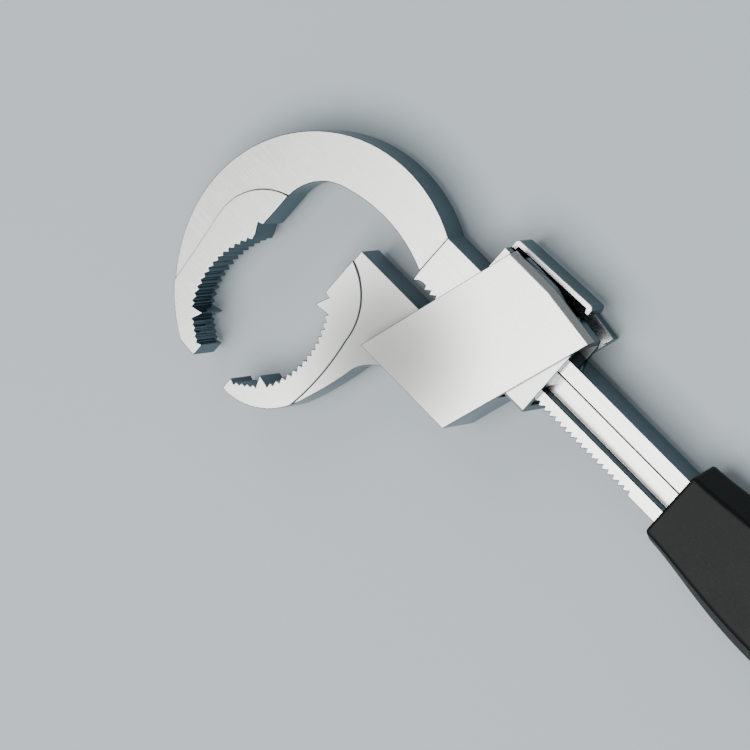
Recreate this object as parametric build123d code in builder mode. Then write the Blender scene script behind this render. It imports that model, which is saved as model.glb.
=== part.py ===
from build123d import *
from math import cos, radians, sin
import os

# Large-opening adjustable sink wrench: a C-shaped upper jaw forged in one with a toothed bar, and a
# lower jaw that slides along the bar, locked by a sprung sleeve and let go by a thumb lever.
# Frame: X runs along the bar towards the grip, Y towards the thumb lever, Z is the thickness.
# The origin is the centre of the hook's outer circle, in the middle of the thickness. Millimetres.

# ---- driving dimensions ----
PLAY = 0.05  # running clearance
HOOK_R = 40.0  # outer radius of the C-shaped jaw
HOOK_HALF = 6.1  # half the thickness of the two jaws
PAD = 0.8  # how far the gripping zones stand proud of each jaw face
BAR_HALF = 6.3  # half the thickness of the bar
BAR_OUTER = 34.6  # the bar's smooth edge, on the lever's side
BAR_INNER = 19.8  # the bar's toothed edge
BAR_END = 216.0  # end of the tang inside the grip
NECK_X = 20.0  # where the hook runs into the bar

RACK_START = 23.9  # root of the first rack tooth
RACK_PITCH = 2.0
RACK_TEETH = 39
RACK_DEPTH = 1.2
RACK_LEAN = 0.43  # how far a tip leans from its root, along the bar

GROOVE_LOW = 23.75  # long groove in each face of the bar
GROOVE_HIGH = 29.7
GROOVE_START = 42.5
GROOVE_END = 124.0
GROOVE_DEPTH = 4.2
GROOVE_LIP = 0.6  # bevel on the outer lip of each groove

MOUTH_GAP = 12.1  # gap between the two jaw ends as the jaw stands
JAW_END = 0.15  # end face of the lower jaw
JAW_FLAT = 4.4  # flat nut face of the lower jaw
JAW_TOP = 15.1  # edge of the lower jaw that faces the bar
HOOK_FLAT = -20.85  # flat nut face of the upper jaw
PAD_MEETS_CHIN = 0.55  # share of the hook's chin above which its gripping zone ends

HEEL_ANGLE = 7.5  # the hook's outline follows its circle for twice this below the X axis

ARC_CENTRE = (-12.87, -17.6)  # toothed hollow of the lower jaw
ARC_R = 24.8
ARC_FIRST = -27.2
ARC_STEP = 4.46
ARC_TEETH = 14
TOOTH_DEPTH = 1.07
TOOTH_BACK = 1.4  # angle from a tip back to its root

HOUSE_HALF = 10.75  # half the thickness of the housing
HOUSE_LOW = -2.1
HOUSE_HIGH = 46.5
HOUSE_BEVEL = 1.6  # bevel along the housing's edges under the lever
TUNNEL_HALF = 9.1
TUNNEL_LOW = 14.3
TUNNEL_HIGH = 40.85
SLOT_HALF = 5.1  # half the gap between the two cheeks, on the lever's side
NOTCH_END = 39.9  # the cheeks are cut thin up to here, round the sleeve's lug

SLEEVE_FRONT = 34.0
SLEEVE_REAR = 66.8
SLEEVE_LOW = 16.0
SLEEVE_HIGH = 40.75
SLEEVE_HALF = 9.0
CAVITY_LOW = 18.2
CAVITY_HIGH = 39.25
CAVITY_HALF = 6.5
LUG_HIGH = 44.8
LUG_THICK = 2.2

PIN_R = 1.5
GUIDE_PIN_Y = BAR_OUTER + PLAY + PIN_R
GUIDE_PIN_X = {"guide_pin_front": 43.0, "guide_pin_rear": 60.5}
PIN_BLIND = 10.0  # the pins stop short of the front face

LEVER_PIVOT = (43.5, 42.9)
LEVER_PIN_R = 1.25
LEVER_THICK = 1.6
LEVER_HALF = 4.65
LEVER_FRONT = (34.0, 47.7)  # outer edge of the strip, front end
LEVER_REAR = (61.8, 49.0)  # outer edge of the strip, rear end
CAM_HALF = 3.5
CAM_EAR = 1.5
CAM_NOSE = (52.5, SLEEVE_HIGH + 1.05)
CAM_NOSE_R = 1.0

SPRING_X = {"sleeve_spring_front": 41.5, "sleeve_spring_rear": 51.5}
SPRING_SEAT = 5.6  # floor of the spring pockets
SPRING_R = 1.7  # mean radius of the coil
SPRING_WIRE = 0.3  # radius of the wire
SPRING_TURNS = 7
COIL_R = 1.6  # the lever's return spring, round its pin
COIL_WIRE = 0.22
COIL_TURNS = 5
COIL_HALF = 1.5

GRIP_START = 112.6
GRIP_END = 240.0
GRIP_MID = 27.2  # middle of the bar's width
GRIP_HALF = 9.5  # half the thickness of the grip
GRIP_PIN_X = 196.0  # pin that holds the grip to the tang
HANG_HOLE_R = 4.0

EDGE = 0.35  # chamfer on the ends of the pins


def rack_points(shift_x=0.0, shift_y=0.0, first=0, count=RACK_TEETH):
    """Roots and tips of the rack, from the root of tooth `first`."""
    points = []
    for i in range(first, first + count):
        root = RACK_START + i * RACK_PITCH + shift_x
        points.append((root, BAR_INNER + RACK_DEPTH + shift_y))
        points.append((root + RACK_LEAN, BAR_INNER + shift_y))
    return points


def mouth_points():
    """Toothed edge of the lower jaw, from its end face round to the tooth below the nut face."""
    end_top = -35.8
    row_start = (1.9, -36.5)
    row_step = (1.31, 0.96)
    row_teeth = 4
    tooth_rise = 0.95
    points = [(JAW_END, end_top)]
    for i in range(row_teeth):
        root = (row_start[0] + i * row_step[0], row_start[1] + i * row_step[1])
        points += [root, (root[0] + 0.1, root[1] + tooth_rise)]
    points += [(7.14, -32.66), (5.74, -29.4), (9.42, -30.2)]
    for i in range(ARC_TEETH):
        tip = radians(ARC_FIRST + i * ARC_STEP)
        root = tip + radians(TOOTH_BACK)
        for angle, radius in ((tip, ARC_R), (root, ARC_R + TOOTH_DEPTH)):
            points.append((ARC_CENTRE[0] + radius * cos(angle), ARC_CENTRE[1] + radius * sin(angle)))
    return points


def mirrored(points, lift=0.75):
    """The same edge on the upper jaw, which faces the lower one across the gap."""
    middle = JAW_END - MOUTH_GAP / 2
    return [(2 * middle - x, y + lift) for x, y in points]


def save(piece, name):
    piece.part.label = name
    export_step(piece.part, f"parts/{name}.step")


os.makedirs("parts", exist_ok=True)

# ---- upper jaw and bar: one forging ----
hook_mouth = mirrored(mouth_points())
hook_tip_low = (hook_mouth[0][0], -38.9)
heel_mid = (-HOOK_R * cos(radians(HEEL_ANGLE)), -HOOK_R * sin(radians(HEEL_ANGLE)))
hook_heel = (-HOOK_R * cos(radians(2 * HEEL_ANGLE)), -HOOK_R * sin(radians(2 * HEEL_ANGLE)))
hook_chin = (-17.5, -38.5)
hook_lobe = ((-20.4, -3.3), (-22.4, 0.5))  # the tooth and notch below the nut face
flat_low = (HOOK_FLAT, 0.9)
flat_high = (HOOK_FLAT, 11.5)
throat_low = (-17.3, 20.05)
throat_mid = (-9.3, 24.55)
ceiling_mid = (2.4, 26.3)
nose_top = (19.95, 22.62)
nose_tip = (20.25, 19.5)
nose_under = (21.6, 20.65)
brow_mid = (-28.6, 6.6)
brow_end = (-32.3, -6.0)
neck_outer = (NECK_X, BAR_OUTER)
rack_end = RACK_START + RACK_TEETH * RACK_PITCH

with BuildPart() as upper_jaw_bar:
    with BuildSketch(Plane.XY.offset(-HOOK_HALF)):
        with BuildLine():
            crown = ThreePointArc(neck_outer, (0, HOOK_R), (-HOOK_R, 0))
            heel = ThreePointArc(crown @ 1, heel_mid, hook_heel)
            chin = TangentArc(heel @ 1, hook_chin, tangent=heel % 1)
            Polyline(chin @ 1, hook_tip_low, *hook_mouth, *hook_lobe, flat_low, flat_high)
            throat = ThreePointArc(flat_high, throat_low, throat_mid)
            ThreePointArc(throat @ 1, ceiling_mid, nose_top)
            Polyline(nose_top, neck_outer)
        make_face()
    extrude(amount=2 * HOOK_HALF)
    with BuildSketch(Plane.XY.offset(-BAR_HALF)):
        with BuildLine():
            Line(nose_top, nose_tip)
            ThreePointArc(nose_tip, nose_under, rack_points()[0])
            last_tooth = ((rack_end, BAR_INNER + RACK_DEPTH), (rack_end + RACK_LEAN, BAR_INNER))
            tang = ((BAR_END, BAR_INNER), (BAR_END, BAR_OUTER))
            Polyline(*rack_points(), *last_tooth, *tang, neck_outer, nose_top)
        make_face()
    extrude(amount=2 * BAR_HALF)
    # the long groove in both faces leaves a web down the middle of the bar
    for side in (1, -1):
        with BuildSketch(Plane.XY.offset(side * BAR_HALF)):
            with Locations(((GROOVE_START + GROOVE_END) / 2, (GROOVE_LOW + GROOVE_HIGH) / 2)):
                Rectangle(GROOVE_END - GROOVE_START, GROOVE_HIGH - GROOVE_LOW)
        extrude(amount=-side * GROOVE_DEPTH, mode=Mode.SUBTRACT)
    lips = (
        upper_jaw_bar.edges()
        .filter_by(Axis.X)
        .filter_by_position(Axis.Y, GROOVE_HIGH - GROOVE_LIP, GROOVE_HIGH + GROOVE_LIP)
        .group_by(Axis.Z)
    )
    chamfer(lips[0] + lips[-1], GROOVE_LIP)
    # hole through the tang for the grip pin
    with BuildSketch(Plane.XY.offset(-BAR_HALF)):
        with Locations((GRIP_PIN_X, GRIP_MID)):
            Circle(PIN_R)
    extrude(amount=2 * BAR_HALF, mode=Mode.SUBTRACT)
    # the raised gripping zone of the hook, on both faces
    with BuildSketch(Plane.XY.offset(-HOOK_HALF - PAD)):
        with BuildLine():
            brow = ThreePointArc(flat_high, brow_mid, brow_end)
            cheek = TangentArc(brow @ 1, chin @ PAD_MEETS_CHIN, tangent=brow % 1)
            ThreePointArc(cheek @ 1, chin @ ((1 + PAD_MEETS_CHIN) / 2), chin @ 1)
            Polyline(chin @ 1, hook_tip_low, *hook_mouth, *hook_lobe, flat_low, flat_high)
        make_face()
    extrude(amount=2 * (HOOK_HALF + PAD))
save(upper_jaw_bar, "upper_jaw_bar")

# ---- lower jaw: jaw plate and two-cheek housing in one casting ----
jaw_mouth = mouth_points()
jaw_tip_low = (JAW_END, -39.4)
jaw_lobe = ((4.4, -4.3), (6.1, -0.3))
chin_side = (17.55, -29.2)
chin_mid = (11.4, -36.2)
chin_low = (2.4, -39.5)
back_top = (23.9, -9.5)
back_mid = (21.4, -19.0)
root_mid = (27.4, -4.9)
root_x = 34.0  # the jaw plate ends here, inside the housing
pad_top = (JAW_FLAT, 11.7)
pad_brow_mid = (13.9, 4.7)
pad_brow_end = (17.4, -5.6)
pad_side_mid = (18.45, -17.5)
house_corners = [
    (22.2, HOUSE_LOW),
    (54.1, HOUSE_LOW),
    (69.1, 44.05),
    (51.3, HOUSE_HIGH),
    (37.04, HOUSE_HIGH),
]
tunnel_start = 27.2
tunnel_end = 70.0

with BuildPart() as housing:
    with BuildSketch(Plane.XY.offset(-HOUSE_HALF)):
        with BuildLine():
            Polyline(*house_corners, close=True)
        make_face()
    extrude(amount=2 * HOUSE_HALF)
    outlines = housing.edges().group_by(Axis.Z)
    chamfer(
        (outlines[0] + outlines[-1]).filter_by(lambda e: e.center().Y > HOUSE_HIGH - 2 * HOUSE_BEVEL),
        HOUSE_BEVEL,
    )

with BuildPart() as lower_jaw:
    with BuildSketch(Plane.XY.offset(-HOOK_HALF)):
        with BuildLine():
            Polyline((JAW_FLAT, 0), (JAW_FLAT, JAW_TOP), (root_x, JAW_TOP), (root_x, HOUSE_LOW))
            ThreePointArc((root_x, HOUSE_LOW), root_mid, back_top)
            ThreePointArc(back_top, back_mid, chin_side)
            ThreePointArc(chin_side, chin_mid, chin_low)
            Polyline(chin_low, jaw_tip_low, *jaw_mouth, *jaw_lobe, (JAW_FLAT, 0))
        make_face()
    extrude(amount=2 * HOOK_HALF)
    # the raised gripping zone, on both faces
    with BuildSketch(Plane.XY.offset(-HOOK_HALF - PAD)):
        with BuildLine():
            Line((JAW_FLAT, 0), pad_top)
            ThreePointArc(pad_top, pad_brow_mid, pad_brow_end)
            ThreePointArc(pad_brow_end, pad_side_mid, chin_side)
            ThreePointArc(chin_side, chin_mid, chin_low)
            Polyline(chin_low, jaw_tip_low, *jaw_mouth, *jaw_lobe, (JAW_FLAT, 0))
        make_face()
    extrude(amount=2 * (HOOK_HALF + PAD))
    add(housing.part)
    # tunnel for the sleeve, slot for the lever and notch for the sleeve's lug
    for low, high, start, end, half in (
        (TUNNEL_LOW, TUNNEL_HIGH, tunnel_start, tunnel_end, TUNNEL_HALF),
        (TUNNEL_HIGH, HOUSE_HIGH, tunnel_start, tunnel_end, SLOT_HALF),
        (TUNNEL_HIGH, HOUSE_HIGH, tunnel_start, NOTCH_END, TUNNEL_HALF),
    ):
        with Locations(((start + end) / 2, (low + high) / 2, 0)):
            Box(end - start, high - low, 2 * half, mode=Mode.SUBTRACT)
    # pockets for the two sleeve springs
    with BuildSketch(Plane.XZ.offset(-TUNNEL_LOW)):
        with Locations(*[(x, 0) for x in SPRING_X.values()]):
            Circle(SPRING_R + 2 * SPRING_WIRE)
    extrude(amount=TUNNEL_LOW - SPRING_SEAT, mode=Mode.SUBTRACT)
    # pin holes, bored from the back and blind at the front
    with BuildSketch(Plane.XY.offset(-HOUSE_HALF)):
        with Locations(*[(x, GUIDE_PIN_Y) for x in GUIDE_PIN_X.values()]):
            Circle(PIN_R)
        with Locations(LEVER_PIVOT):
            Circle(LEVER_PIN_R)
    extrude(amount=HOUSE_HALF + PIN_BLIND, mode=Mode.SUBTRACT)
save(lower_jaw, "lower_jaw")

# ---- cross pins ----
for name, place, radius in (
    ("guide_pin_front", (GUIDE_PIN_X["guide_pin_front"], GUIDE_PIN_Y), PIN_R),
    ("guide_pin_rear", (GUIDE_PIN_X["guide_pin_rear"], GUIDE_PIN_Y), PIN_R),
    ("lever_pin", LEVER_PIVOT, LEVER_PIN_R),
):
    with BuildPart() as pin:
        with BuildSketch(Plane.XY.offset(-HOUSE_HALF)):
            with Locations(place):
                Circle(radius)
        extrude(amount=HOUSE_HALF + PIN_BLIND)
        chamfer(pin.edges().filter_by(GeomType.CIRCLE), EDGE)
    save(pin, name)

# ---- locking sleeve with its toothed block and guide keys ----
key_low = 25.6
key_high = GROOVE_HIGH - PLAY
key_start = 55.5
key_gap = 0.25  # between a key and the web of the bar
key_depth = BAR_HALF - GROOVE_DEPTH + key_gap
peg_r = 1.0
peg_x = (57.5, 61.5)
block_first = 11
block_teeth = 10
block_clear = (-0.06, -0.12)
rivet_x = {"lock_teeth_rivet_front": 48.5, "lock_teeth_rivet_rear": 62.5}
rivet_top = 19.2
rivet_r = 1.0
rivet_head_r = 1.7
head_base = SLEEVE_LOW + rivet_head_r - rivet_r
rivet_profile = [
    (0, SLEEVE_LOW),
    (rivet_head_r, SLEEVE_LOW),
    (rivet_r, head_base),
    (rivet_r, rivet_top),
    (0, rivet_top),
]
sleeve_round = 1.0
pin_play = 0.1
block_gap = 0.5  # on each side of the toothed block
block_half = CAVITY_HALF - block_gap

rivets = []
for name, x in rivet_x.items():
    with BuildPart() as rivet:
        with BuildSketch(Plane.XY):
            with BuildLine():
                Polyline(*[(x + r, y) for r, y in rivet_profile], close=True)
            make_face()
        revolve(axis=Axis((x, 0, 0), (0, 1, 0)))
    save(rivet, name)
    rivets.append(rivet.part)

with BuildPart() as lock_sleeve:
    with Locations(((SLEEVE_FRONT + SLEEVE_REAR) / 2, (SLEEVE_LOW + SLEEVE_HIGH) / 2, 0)):
        Box(SLEEVE_REAR - SLEEVE_FRONT, SLEEVE_HIGH - SLEEVE_LOW, 2 * SLEEVE_HALF)
    fillet(lock_sleeve.edges().filter_by(Axis.X), sleeve_round)
    with Locations((SLEEVE_FRONT + LUG_THICK / 2, (CAVITY_HIGH + LUG_HIGH) / 2, 0)):
        Box(LUG_THICK, LUG_HIGH - CAVITY_HIGH, 2 * SLEEVE_HALF)
    with Locations(((SLEEVE_FRONT + SLEEVE_REAR) / 2, (CAVITY_LOW + CAVITY_HIGH) / 2, 0)):
        Box(SLEEVE_REAR - SLEEVE_FRONT, CAVITY_HIGH - CAVITY_LOW, 2 * CAVITY_HALF, mode=Mode.SUBTRACT)
    # the guide pins pass through these slots, which leave the sleeve its travel
    for x in GUIDE_PIN_X.values():
        with Locations((x, BAR_OUTER + (CAVITY_HIGH - BAR_OUTER) / 2, 0)):
            Box(2 * PIN_R + pin_play, CAVITY_HIGH - BAR_OUTER, 2 * SLEEVE_HALF, mode=Mode.SUBTRACT)
    with BuildSketch(Plane.XY.offset(-SLEEVE_HALF)):
        with Locations(*[(x, (key_low + key_high) / 2) for x in peg_x]):
            Circle(peg_r)
    extrude(amount=2 * SLEEVE_HALF, mode=Mode.SUBTRACT)
    add(rivets, mode=Mode.SUBTRACT)
save(lock_sleeve, "lock_sleeve")

with BuildPart() as lock_teeth:
    with BuildSketch(Plane.XY.offset(-block_half)):
        with BuildLine():
            edge = rack_points(*block_clear, first=block_first, count=block_teeth)
            last = (edge[0][0] + block_teeth * RACK_PITCH, edge[0][1])
            Polyline((edge[0][0], CAVITY_LOW), *edge, last, (last[0], CAVITY_LOW), close=True)
        make_face()
    extrude(amount=2 * block_half)
    add(rivets, mode=Mode.SUBTRACT)
save(lock_teeth, "lock_teeth")

for name, side in (("guide_key_front", 1), ("guide_key_back", -1)):
    with BuildPart() as key:
        with BuildSketch(Plane.XY.offset(side * key_depth)):
            with Locations(((key_start + SLEEVE_REAR) / 2, (key_low + key_high) / 2)):
                Rectangle(SLEEVE_REAR - key_start, key_high - key_low)
        extrude(amount=side * (CAVITY_HALF - key_depth))
        with BuildSketch(Plane.XY.offset(side * CAVITY_HALF)):
            with Locations(*[(x, (key_low + key_high) / 2) for x in peg_x]):
                Circle(peg_r)
        extrude(amount=side * (SLEEVE_HALF - CAVITY_HALF))
    save(key, name)

# ---- thumb lever: bent strip with the cam bracket under it ----
lever_slope = (LEVER_REAR[1] - LEVER_FRONT[1]) / (LEVER_REAR[0] - LEVER_FRONT[0])


def under_strip(x):
    """Height of the strip's inner face at x."""
    return LEVER_FRONT[1] - LEVER_THICK + (x - LEVER_FRONT[0]) * lever_slope


lug_gap = 0.07
tail_low = LUG_HIGH + lug_gap  # the bent front end stands just over the sleeve's lug
tail_back = LEVER_FRONT[0] + LEVER_THICK
lip_low = 46.1
lip_lean = 0.3
lip_out = LEVER_REAR[0] + lip_lean
lip_in = lip_out - LEVER_THICK
strip_rear = lip_in - 0.1
# each corner of the strip's outline with the radius of its bend
strip_corners = [
    ((LEVER_FRONT[0], tail_low), 0.3),
    (LEVER_FRONT, 1.2),
    (LEVER_REAR, 1.3),
    ((lip_out, lip_low), 0.7),
    ((lip_in, lip_low), 0.7),
    ((strip_rear, under_strip(strip_rear)), 0.5),
    ((tail_back, under_strip(tail_back)), 0.4),
    ((tail_back, tail_low), 0.3),
]

with BuildPart() as thumb_lever:
    with BuildSketch(Plane.XY.offset(-LEVER_HALF)):
        with BuildLine():
            corners, bends = zip(*strip_corners)
            FilletPolyline(*corners, radius=bends, close=True)
        make_face()
    extrude(amount=2 * LEVER_HALF)
save(thumb_lever, "thumb_lever")

ear_r = 2.0
ear_play = 0.03
web = 1.2  # thickness of the bracket where it lies under the strip
web_front = 41.4
web_rear = 55.5
gap_start = LEVER_PIVOT[0] - 2 * ear_r
gap_end = web_rear + ear_r
gap_floor = SLEEVE_HIGH - ear_r

with BuildPart() as lever_cam:
    with BuildSketch(Plane.XY.offset(-CAM_HALF)):
        with Locations(LEVER_PIVOT):
            Circle(ear_r)
        with Locations(CAM_NOSE):
            Circle(CAM_NOSE_R)
        with BuildLine():
            Line((web_front, under_strip(web_front)), (web_rear, under_strip(web_rear)))
        make_hull()
    extrude(amount=2 * CAM_HALF)
    with BuildSketch(Plane.XY.offset(-CAM_HALF + CAM_EAR)):
        with BuildLine():
            Polyline(
                (gap_start, gap_floor),
                (gap_end, gap_floor),
                (gap_end, under_strip(gap_end) - web),
                (gap_start, under_strip(gap_start) - web),
                close=True,
            )
        make_face()
    extrude(amount=2 * (CAM_HALF - CAM_EAR), mode=Mode.SUBTRACT)
    with BuildSketch(Plane.XY.offset(-CAM_HALF)):
        with Locations(LEVER_PIVOT):
            Circle(LEVER_PIN_R + ear_play)
    extrude(amount=2 * CAM_HALF, mode=Mode.SUBTRACT)
save(lever_cam, "lever_cam")

# ---- springs ----
spring_span = SLEEVE_LOW - SPRING_SEAT - 2 * SPRING_WIRE
for name, x in SPRING_X.items():
    with BuildPart() as spring:
        with BuildLine() as coil:
            Helix(
                pitch=spring_span / SPRING_TURNS,
                height=spring_span,
                radius=SPRING_R,
                center=(x, SPRING_SEAT + SPRING_WIRE, 0),
                direction=(0, 1, 0),
            )
        with BuildSketch(Plane(coil.line @ 0, z_dir=coil.line % 0)):
            Circle(SPRING_WIRE)
        sweep(is_frenet=True)
    save(spring, name)

with BuildPart() as lever_spring:
    with BuildLine() as lever_coil:
        Helix(
            pitch=2 * COIL_HALF / COIL_TURNS,
            height=2 * COIL_HALF,
            radius=COIL_R,
            center=(*LEVER_PIVOT, -COIL_HALF),
        )
    with BuildSketch(Plane(lever_coil.line @ 0, z_dir=lever_coil.line % 0)):
        Circle(COIL_WIRE)
    sweep(is_frenet=True)
save(lever_spring, "lever_spring")

# ---- grip: stiff core pinned to the tang, under a soft skin ----
core_start = GRIP_START + 1.0
core_end = BAR_END + 4.0
core_wide = 20.0
core_thick = 15.0
core_round = 2.0
hang_hole_x = 230.0
# distance along the bar, half width of the flat face, half width at the side ridge
grip_sections = (
    (GRIP_START, 9.8, 13.5),
    (129.0, 11.1, 15.4),
    (145.0, 12.3, 17.2),
    (178.0, 11.8, 16.2),
    (212.0, 12.4, 16.8),
    (GRIP_END, 11.2, 15.4),
)
# the far end is rounded off in plan to half an oval
grip_oval_long = 15.0
grip_oval_half = 18.5

with BuildPart() as grip_pin:
    with BuildSketch(Plane.XY.offset(-core_thick / 2)):
        with Locations((GRIP_PIN_X, GRIP_MID)):
            Circle(PIN_R)
    extrude(amount=core_thick)
    chamfer(grip_pin.edges().filter_by(GeomType.CIRCLE), EDGE)
save(grip_pin, "grip_pin")

with BuildPart() as grip_core:
    with Locations(((core_start + core_end) / 2, GRIP_MID, 0)):
        Box(core_end - core_start, core_wide, core_thick)
    fillet(grip_core.edges().filter_by(Axis.X), core_round)
    with Locations(((core_start + BAR_END) / 2, (BAR_INNER + BAR_OUTER) / 2, 0)):
        Box(BAR_END - core_start, BAR_OUTER - BAR_INNER, 2 * BAR_HALF, mode=Mode.SUBTRACT)
    with BuildSketch(Plane.XY.offset(-core_thick / 2)):
        with Locations((GRIP_PIN_X, GRIP_MID)):
            Circle(PIN_R)
    extrude(amount=core_thick, mode=Mode.SUBTRACT)
save(grip_core, "grip_core")

with BuildPart() as grip:
    for x, face_half, ridge_half in grip_sections:
        with BuildSketch(Plane((x, GRIP_MID, 0), x_dir=(0, 1, 0), z_dir=(1, 0, 0))):
            with BuildLine():
                Polyline(
                    (-ridge_half, 0),
                    (-face_half, -GRIP_HALF),
                    (face_half, -GRIP_HALF),
                    (ridge_half, 0),
                    (face_half, GRIP_HALF),
                    (-face_half, GRIP_HALF),
                    close=True,
                )
            make_face()
    loft()
    with BuildSketch(Plane.XY.offset(-GRIP_HALF)):
        with Locations((GRIP_END - grip_oval_long, GRIP_MID)):
            Ellipse(grip_oval_long, grip_oval_half)
        with Locations((GRIP_START, GRIP_MID)):
            Rectangle(
                GRIP_END - grip_oval_long - GRIP_START,
                2 * grip_oval_half,
                align=(Align.MIN, Align.CENTER),
            )
    extrude(amount=2 * GRIP_HALF, mode=Mode.INTERSECT)
    with BuildSketch(Plane.XY.offset(-GRIP_HALF)):
        with Locations((hang_hole_x, GRIP_MID)):
            Circle(HANG_HOLE_R)
    extrude(amount=2 * GRIP_HALF, mode=Mode.SUBTRACT)
    with Locations(((GRIP_START + core_start) / 2, (BAR_INNER + BAR_OUTER) / 2, 0)):
        Box(core_start - GRIP_START, BAR_OUTER - BAR_INNER, 2 * BAR_HALF, mode=Mode.SUBTRACT)
    with Locations(((core_start + core_end) / 2, GRIP_MID, 0)):
        Box(core_end - core_start, core_wide, core_thick, mode=Mode.SUBTRACT)
save(grip, "grip")
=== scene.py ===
import math

import bmesh
import bpy
from mathutils import Matrix, Vector


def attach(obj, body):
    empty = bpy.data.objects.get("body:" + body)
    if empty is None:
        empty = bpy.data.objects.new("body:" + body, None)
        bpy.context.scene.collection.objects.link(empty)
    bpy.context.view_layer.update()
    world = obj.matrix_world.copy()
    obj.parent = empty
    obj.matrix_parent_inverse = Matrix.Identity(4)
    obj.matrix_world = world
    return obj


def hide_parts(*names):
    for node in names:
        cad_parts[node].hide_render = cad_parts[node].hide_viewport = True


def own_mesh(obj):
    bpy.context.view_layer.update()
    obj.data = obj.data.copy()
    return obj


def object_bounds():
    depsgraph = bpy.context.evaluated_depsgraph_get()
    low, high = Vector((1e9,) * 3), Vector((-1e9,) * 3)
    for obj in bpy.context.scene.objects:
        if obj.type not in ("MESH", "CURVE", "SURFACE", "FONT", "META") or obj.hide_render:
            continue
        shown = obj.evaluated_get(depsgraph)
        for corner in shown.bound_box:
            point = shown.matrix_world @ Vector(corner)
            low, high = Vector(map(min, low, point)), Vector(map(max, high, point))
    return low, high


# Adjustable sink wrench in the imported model's frame: metres, X along the bar to the grip,
# Y towards the thumb lever, Z through the thickness.

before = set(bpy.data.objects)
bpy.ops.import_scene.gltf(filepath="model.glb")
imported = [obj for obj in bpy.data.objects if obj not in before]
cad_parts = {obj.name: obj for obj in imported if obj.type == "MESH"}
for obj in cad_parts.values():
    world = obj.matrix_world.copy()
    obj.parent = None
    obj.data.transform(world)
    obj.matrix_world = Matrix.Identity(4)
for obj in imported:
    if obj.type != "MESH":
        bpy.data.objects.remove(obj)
cad_low, cad_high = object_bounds()
scene = bpy.context.scene

# ---- camera: long lens, looking down on the tool from the front ----
CAMERA_TURN = 45.5  # how far the bar is turned in the picture, in degrees as are the next three
CAMERA_YAW = 22.21
CAMERA_PITCH = 2.28
CAMERA_ROLL = -2.59
CAMERA_LENS = 288.0
CAMERA_OFFSET = Vector((-0.01375, -0.02543, 1.6057))  # the origin, seen from the camera


def turn(axis, degrees):
    return Matrix.Rotation(math.radians(degrees), 3, axis)


def aim_camera():
    c, s = math.cos(math.radians(CAMERA_TURN)), math.sin(math.radians(CAMERA_TURN))
    base = Matrix(((c, s, 0), (s, -c, 0), (0, 0, -1)))
    # the tool's axes seen by the camera: right, down and forward
    seen = turn("Z", CAMERA_ROLL) @ turn("X", CAMERA_PITCH) @ turn("Y", CAMERA_YAW) @ base
    data = bpy.data.cameras.new("camera")
    data.lens = CAMERA_LENS
    data.sensor_width = 36.0
    data.clip_start, data.clip_end = 0.05, 20.0
    camera = bpy.data.objects.new("camera", data)
    scene.collection.objects.link(camera)
    flip = Matrix(((1, 0, 0), (0, -1, 0), (0, 0, -1)))
    rotation = (flip @ seen).transposed()
    camera.matrix_world = Matrix.Translation(-(seen.transposed() @ CAMERA_OFFSET)) @ rotation.to_4x4()
    scene.camera = camera


aim_camera()


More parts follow.
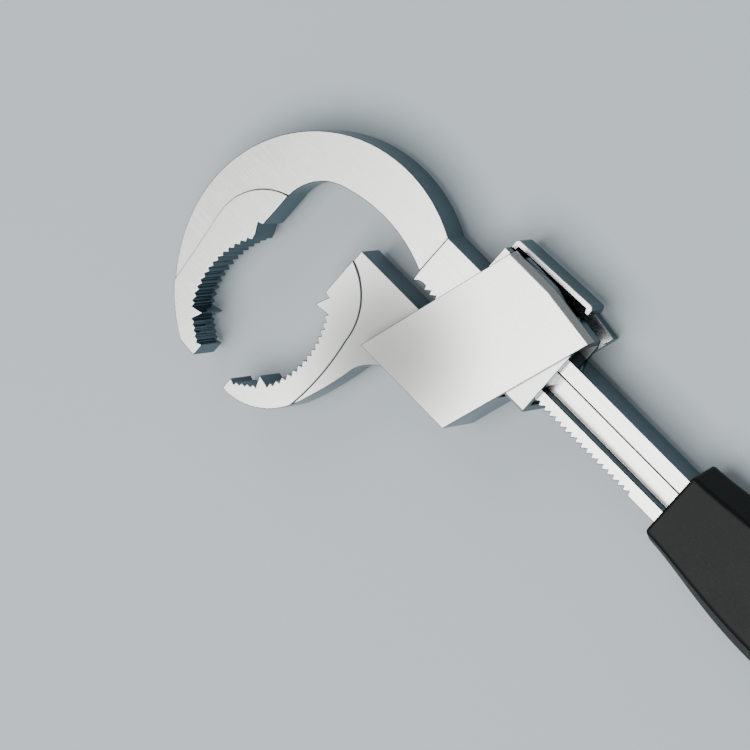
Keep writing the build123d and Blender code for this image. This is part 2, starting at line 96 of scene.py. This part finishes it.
# ---- materials ----
class Nodes:
    """One material, with short ways to add and link its shader nodes."""

    def __init__(self, name):
        self.material = bpy.data.materials.new(name)
        self.material.use_nodes = True
        self.tree = self.material.node_tree
        self.tree.nodes.clear()
        self.shader = self.add("ShaderNodeBsdfPrincipled")
        output = self.add("ShaderNodeOutputMaterial")
        self.link(self.shader.outputs[0], output.inputs["Surface"])
        self.coords = self.add("ShaderNodeTexCoord")

    def add(self, kind, **inputs):
        node = self.tree.nodes.new(kind)
        for key, value in inputs.items():
            node.inputs[key].default_value = value
        return node

    def link(self, a, b):
        self.tree.links.new(a, b)

    def drive(self, socket_name, value):
        """Link a value to one of the shader's inputs."""
        self.link(value, self.shader.inputs[socket_name])

    def fix(self, socket_name, value):
        """Set a constant on one of the shader's inputs."""
        self.shader.inputs[socket_name].default_value = value

    def noise(self, scale, detail=4.0, stretch=(1, 1, 1)):
        """Noise in the object's own metres, stretched along an axis if asked."""
        mapping = self.add("ShaderNodeMapping", Scale=stretch)
        self.link(self.coords.outputs["Object"], mapping.inputs["Vector"])
        texture = self.add("ShaderNodeTexNoise", Scale=scale, Detail=detail)
        self.link(mapping.outputs[0], texture.inputs["Vector"])
        return texture.outputs["Fac"]

    def ramp(self, value, low, high, out_low=0.0, out_high=1.0):
        node = self.add("ShaderNodeMapRange")
        node.interpolation_type = "SMOOTHSTEP"
        node.inputs["From Min"].default_value = low
        node.inputs["From Max"].default_value = high
        node.inputs["To Min"].default_value = out_low
        node.inputs["To Max"].default_value = out_high
        self.link(value, node.inputs["Value"])
        return node.outputs["Result"]

    def between(self, kind, socket_type, factor, ends):
        """Mix node between two ends, each a value or a socket."""
        node = self.add("ShaderNodeMix")
        node.data_type = kind
        self.link(factor, node.inputs["Factor"])
        for key, value in zip("AB", ends):
            socket = next(s for s in node.inputs if s.name == key and s.type == socket_type)
            if isinstance(value, bpy.types.NodeSocket):
                self.link(value, socket)
            else:
                socket.default_value = value
        return next(s for s in node.outputs if s.type == socket_type)

    def mix(self, factor, a, b):
        """Colour between a and b; each is a colour or a socket."""
        ends = [c if isinstance(c, bpy.types.NodeSocket) else (*c, 1.0) for c in (a, b)]
        return self.between("RGBA", "RGBA", factor, ends)

    def mix_numbers(self, factor, a, b):
        """Number between a and b; each is a number or a socket."""
        return self.between("FLOAT", "VALUE", factor, (a, b))

    def facing(self, axis, low, high):
        """1 where the surface faces along that axis, either way, and 0 on the edges."""
        split = self.add("ShaderNodeSeparateXYZ")
        self.link(self.coords.outputs["Normal"], split.inputs[0])
        size = self.add("ShaderNodeMath")
        size.operation = "ABSOLUTE"
        self.link(split.outputs[axis], size.inputs[0])
        return self.ramp(size.outputs[0], low, high)

    def distance(self, centre):
        """Distance from a point of the object, in its own metres."""
        node = self.add("ShaderNodeVectorMath")
        node.operation = "DISTANCE"
        self.link(self.coords.outputs["Object"], node.inputs[0])
        node.inputs[1].default_value = centre
        return node.outputs["Value"]

    def sum(self, a, b):
        node = self.add("ShaderNodeMath")
        node.operation = "ADD"
        self.link(a, node.inputs[0])
        self.link(b, node.inputs[1])
        return node.outputs[0]

    def bump(self, height, strength, distance):
        node = self.add("ShaderNodeBump", Strength=strength, Distance=distance)
        self.link(height, node.inputs["Height"])
        self.drive("Normal", node.outputs[0])


NICKEL_FACE = (0.82, 0.81, 0.79)
# painted dark reflection: the colour given to the sides and edges of the plated pieces
NICKEL_SIDE_PAINTED_REFLECTION = (0.088, 0.116, 0.130)
EDGE_SHEEN = (0.66, 0.74, 0.78, 1.0)  # colour of the metal seen at a grazing angle
# coarser satin at the root of the sliding jaw, its colour darkened there as painted shade
SATIN_AND_SHADE_CENTRE = (0.029, 0.001, 0)
SATIN_AND_SHADE_INNER = 0.006  # radius where the patch starts to fade
SATIN_AND_SHADE_OUTER = 0.036  # radius where it has gone
SATIN_ROUGH = 0.34  # its extra roughness
SATIN_PAINTED_SHADE = 0.54  # its brightness beside the rest, a painted shade
MARK_DEPTH = 0.00002  # height of the tool marks and of the blasted grain


def darker(colour, share):
    return tuple(c * share for c in colour)


def plated_steel(
    name, face_rough, grain=(1, 1, 1), blast=0.25, turn_in=(0.45, 0.65), satin_and_shade_patch=False
):
    """Plated forging: satin on its flat faces, polished on its edges, whose colour is a painted dark
    reflection.

    turn_in gives the two steepnesses, as the normal's Z, between which the edge's polish and
    painted dark reflection turn into the face's satin and colour.
    """
    edge_rough = 0.13
    n = Nodes(name)
    n.fix("Metallic", 1.0)
    n.fix("Specular Tint", EDGE_SHEEN)
    flat = n.facing("Z", *turn_in)
    cloud = n.noise(45.0, 3.0)
    fine = n.noise(2600.0, 5.0, grain)
    worn = n.mix(n.ramp(cloud, 0.35, 0.70), NICKEL_FACE, darker(NICKEL_FACE, 0.93))
    face = n.mix(n.ramp(fine, 0.30, 0.75), worn, darker(NICKEL_FACE, 0.97))
    face_r = n.ramp(fine, 0.25, 0.75, face_rough - 0.03, face_rough + 0.04)
    if satin_and_shade_patch:
        away = n.distance(SATIN_AND_SHADE_CENTRE)
        face_r = n.sum(face_r, n.ramp(away, SATIN_AND_SHADE_INNER, SATIN_AND_SHADE_OUTER, SATIN_ROUGH, 0.0))
        # painted shade: the patch's colour is darkened towards its centre
        face = n.mix(n.ramp(away, SATIN_AND_SHADE_INNER, SATIN_AND_SHADE_OUTER), darker(NICKEL_FACE, SATIN_PAINTED_SHADE), face)
    # painted dark reflection: sides take the dark colour, faces the satin colour
    n.drive("Base Color", n.mix(flat, NICKEL_SIDE_PAINTED_REFLECTION, face))
    edge_r = n.ramp(cloud, 0.30, 0.75, edge_rough - 0.03, edge_rough + 0.06)
    n.drive("Roughness", n.mix_numbers(flat, edge_r, face_r))
    n.bump(fine, blast, MARK_DEPTH)
    return n.material


def drawn_metal(name, colour, rough, scale=900.0, stretch=(1, 1, 1)):
    """Small machined or drawn steel piece with fine tool marks and slight colour change."""
    n = Nodes(name)
    n.fix("Metallic", 1.0)
    marks = n.noise(scale, 4.0, stretch)
    cloud = n.noise(160.0, 2.0)
    n.drive("Base Color", n.mix(n.ramp(cloud, 0.3, 0.7), colour, darker(colour, 0.8)))
    n.drive("Roughness", n.ramp(marks, 0.25, 0.75, rough - 0.06, rough + 0.10))
    n.bump(marks, 0.25, MARK_DEPTH)
    return n.material


def moulded(name, colour, worn, side, rough, grain_scale, grain_depth):
    """Moulded plastic or rubber: fine grain, lighter where its flats are rubbed, with a painted shade
    on its sides.
    """
    n = Nodes(name)
    grain = n.noise(grain_scale, 6.0)
    cloud = n.noise(38.0, 3.0)
    flat = n.mix(n.ramp(cloud, 0.35, 0.75), colour, worn)
    # painted shade: the sides take the darker side colour
    n.drive("Base Color", n.mix(n.facing("Z", 0.90, 0.99), side, flat))
    n.drive("Roughness", n.ramp(grain, 0.25, 0.75, rough - 0.06, rough + 0.08))
    n.fix("Specular IOR Level", 0.12)
    n.bump(grain, 0.45, grain_depth)
    return n.material


jaw_nickel = plated_steel("jaw_nickel", 0.28, blast=0.16, satin_and_shade_patch=True)
nickel = plated_steel("satin_nickel", 0.34)
bar_nickel = plated_steel("ground_nickel", 0.26, grain=(0.04, 1, 1), blast=0.14, turn_in=(0.72, 0.96))
black_steel = drawn_metal("black_oxide", (0.020, 0.021, 0.023), 0.42)
tool_steel = drawn_metal("hardened_steel", (0.30, 0.30, 0.31), 0.30, 1500.0, (0.05, 1, 1))
pin_steel = drawn_metal("ground_pin", (0.50, 0.50, 0.51), 0.22, 2000.0, (1, 1, 0.05))
spring_wire = drawn_metal("spring_wire", (0.42, 0.42, 0.44), 0.28, 2500.0)
grip_rubber = moulded(
    "soft_grip",
    colour=(0.022, 0.022, 0.022),
    worn=(0.030, 0.030, 0.030),
    # painted shade on the grip's sides
    side=(0.006, 0.007, 0.007),
    rough=0.52,
    grain_scale=3200.0,
    grain_depth=0.00004,
)
core_plastic = moulded(
    "grip_core_plastic",
    colour=(0.055, 0.055, 0.060),
    worn=(0.075, 0.075, 0.080),
    # painted shade on the core's sides
    side=(0.05, 0.05, 0.055),
    rough=0.45,
    grain_scale=1500.0,
    grain_depth=0.00002,
)


def paint(obj, material):
    obj.data.materials.clear()
    obj.data.materials.append(material)


CARRIED = {
    "grip_core": core_plastic,
    "grip_pin": pin_steel,
    "guide_pin_front": pin_steel,
    "guide_pin_rear": pin_steel,
    "lever_pin": pin_steel,
    "lever_spring": spring_wire,
    "lock_teeth": tool_steel,
    "lock_teeth_rivet_front": pin_steel,
    "lock_teeth_rivet_rear": pin_steel,
    "guide_key_front": tool_steel,
    "guide_key_back": tool_steel,
    "lever_cam": black_steel,
}
for node, material in CARRIED.items():
    paint(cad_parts[node], material)


# ---- forged, pressed and moulded pieces, with their edges broken ----
MERGE_GAP = 2e-6  # points nearer than this are one point
FLAT_ANGLE = math.radians(0.6)  # faces that turn less than this are one face
SMOOTH_ANGLE = math.radians(35.0)
BEVEL_ANGLE = math.radians(24.0)  # sharper edges than this are rounded
# how far from an edge its round starts
FORGED_ROUND = 0.00022
PRESSED_ROUND = 0.00020
GRIP_ROUND = 0.0010


def make_piece(mesh, name, node, body, material):
    """A piece of that name, made from the mesh, in place of the node."""
    data = bpy.data.meshes.new(name)
    mesh.to_mesh(data)
    mesh.free()
    piece = bpy.data.objects.new(name, data)
    scene.collection.objects.link(piece)
    for face in data.polygons:
        face.use_smooth = True
    data.set_sharp_from_angle(angle=SMOOTH_ANGLE)
    paint(piece, material)
    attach(piece, body)
    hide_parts(node)
    return piece


def edged(node, body, material, width, segments=2, convex_only=False):
    """A copy of the node with a small round on every sharp edge, or on the convex ones only."""
    mesh = bmesh.new()
    mesh.from_mesh(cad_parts[node].data)
    bmesh.ops.remove_doubles(mesh, verts=mesh.verts, dist=MERGE_GAP)
    bmesh.ops.dissolve_limit(mesh, angle_limit=FLAT_ANGLE, verts=mesh.verts, edges=mesh.edges)
    if convex_only:
        weight = mesh.edges.layers.float.new("bevel_weight_edge")
        for edge in mesh.edges:
            if edge.is_convex and edge.calc_face_angle(0.0) > BEVEL_ANGLE:
                edge[weight] = 1.0
    piece = make_piece(mesh, node + "_finish", node, body, material)
    bevel = piece.modifiers.new("edges", "BEVEL")
    bevel.width = width
    bevel.segments = segments
    bevel.limit_method = "WEIGHT" if convex_only else "ANGLE"
    bevel.angle_limit = BEVEL_ANGLE
    bevel.use_clamp_overlap = False
    normals = piece.modifiers.new("flat faces stay flat", "WEIGHTED_NORMAL")
    normals.mode = "FACE_AREA"
    normals.weight = 100
    normals.keep_sharp = True


edged("upper_jaw_bar", "frame", bar_nickel, FORGED_ROUND)
edged("lower_jaw", "jaw", jaw_nickel, FORGED_ROUND)
# the lug meets the sleeve's round at a thin wedge, where a rounded inner edge would throw up points
edged("lock_sleeve", "lock", nickel, PRESSED_ROUND, convex_only=True)
edged("thumb_lever", "lever", nickel, PRESSED_ROUND)
edged("grip", "frame", grip_rubber, GRIP_ROUND, segments=4)

# ---- the sleeve's springs ----
SPRING_X = {"sleeve_spring_front": 0.0415, "sleeve_spring_rear": 0.0515}
SPRING_SEAT = 0.0056  # floor of the pockets
SPRING_TOP = 0.0160  # underside of the sleeve
SPRING_R = 0.0017  # mean radius of the coil
SPRING_WIRE = 0.0003  # radius of the wire
SPRING_TURNS = 7  # the two closed end turns are among them
SPRING_STEPS = 28  # rings of the mesh in one turn
WIRE_SIDES = 10  # sides of the wire's section
END_RISE = 2.2 * SPRING_WIRE  # rise of each closed end turn


def coil_height(turn_now):
    """Height of the wire's middle after that many turns; the end turns lie closed."""
    low, high = SPRING_SEAT + SPRING_WIRE, SPRING_TOP - SPRING_WIRE
    if turn_now < 1:
        return low + END_RISE * turn_now
    if turn_now > SPRING_TURNS - 1:
        return high - END_RISE * (SPRING_TURNS - turn_now)
    open_rise = (high - low - 2 * END_RISE) / (SPRING_TURNS - 2)
    return low + END_RISE + open_rise * (turn_now - 1)


def compression_spring(node, x):
    """Coil spring along Y in its pocket."""
    mesh = bmesh.new()
    rings = []
    for step in range(SPRING_TURNS * SPRING_STEPS + 1):
        angle = math.tau * step / SPRING_STEPS
        outward = Vector((math.cos(angle), 0, math.sin(angle)))
        rise = coil_height((step + 1) / SPRING_STEPS) - coil_height(step / SPRING_STEPS)
        along = Vector((-math.sin(angle), 0, math.cos(angle))) * SPRING_R * math.tau / SPRING_STEPS
        along.y = rise
        across = along.normalized().cross(outward)
        middle = Vector((x, coil_height(step / SPRING_STEPS), 0)) + outward * SPRING_R
        ring = []
        for side in range(WIRE_SIDES):
            around = math.tau * side / WIRE_SIDES
            offset = (outward * math.cos(around) + across * math.sin(around)) * SPRING_WIRE
            ring.append(mesh.verts.new(middle + offset))
        rings.append(ring)
    for a, b in zip(rings, rings[1:]):
        for side in range(WIRE_SIDES):
            after = (side + 1) % WIRE_SIDES
            mesh.faces.new((a[side], a[after], b[after], b[side]))
    mesh.faces.new(rings[0])
    mesh.faces.new(rings[-1])
    bmesh.ops.recalc_face_normals(mesh, faces=mesh.faces)
    piece = make_piece(mesh, node + "_coil", node, "jaw", spring_wire)
    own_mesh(piece)


for node, x in SPRING_X.items():
    compression_spring(node, x)

# ---- floor and lights ----
FLOOR_HALF = 3.0
FLOOR_GAP = 0.0002  # the tool stands this far above the floor
floor_level = cad_low.z - FLOOR_GAP
floor_corners = [(x * FLOOR_HALF, y * FLOOR_HALF) for x, y in ((-1, -1), (1, -1), (1, 1), (-1, 1))]
floor_mesh = bpy.data.meshes.new("floor")
floor_mesh.from_pydata([(x, y, floor_level) for x, y in floor_corners], [], [(0, 1, 2, 3)])
floor = bpy.data.objects.new("floor", floor_mesh)
scene.collection.objects.link(floor)
floor_look = Nodes("pale_floor")
floor_look.fix("Roughness", 0.75)
floor_look.fix("Specular IOR Level", 0.2)
floor_tint = floor_look.mix(floor_look.noise(3.0, 2.0), (0.60, 0.66, 0.69), (0.63, 0.69, 0.72))
floor_look.drive("Base Color", floor_tint)
paint(floor, floor_look.material)


def softbox(name, place, target, size, power, colour=(1, 1, 1)):
    light = bpy.data.lights.new(name, "AREA")
    light.shape = "RECTANGLE"
    light.size, light.size_y = size
    light.energy = power
    light.color = colour
    box = bpy.data.objects.new(name, light)
    box.location = place
    box.rotation_euler = (Vector(target) - Vector(place)).to_track_quat("-Z", "Y").to_euler()
    scene.collection.objects.link(box)


centre = (cad_low + cad_high) / 2
softbox("key", place=(0.16, -0.33, 1.2), target=(0.16, -0.30, 0.0), size=(0.95, 1.0), power=17.0)
softbox(
    "fill",
    place=(-0.7, 0.5, 0.8),
    target=centre,
    size=(0.5, 0.5),
    power=2.0,
    colour=(0.93, 0.97, 1.0),
)
world = bpy.data.worlds.new("studio")
world.use_nodes = True
sky = world.node_tree.nodes["Background"]
sky.inputs["Color"].default_value = (0.55, 0.62, 0.66, 1)
sky.inputs["Strength"].default_value = 0.36
scene.world = world
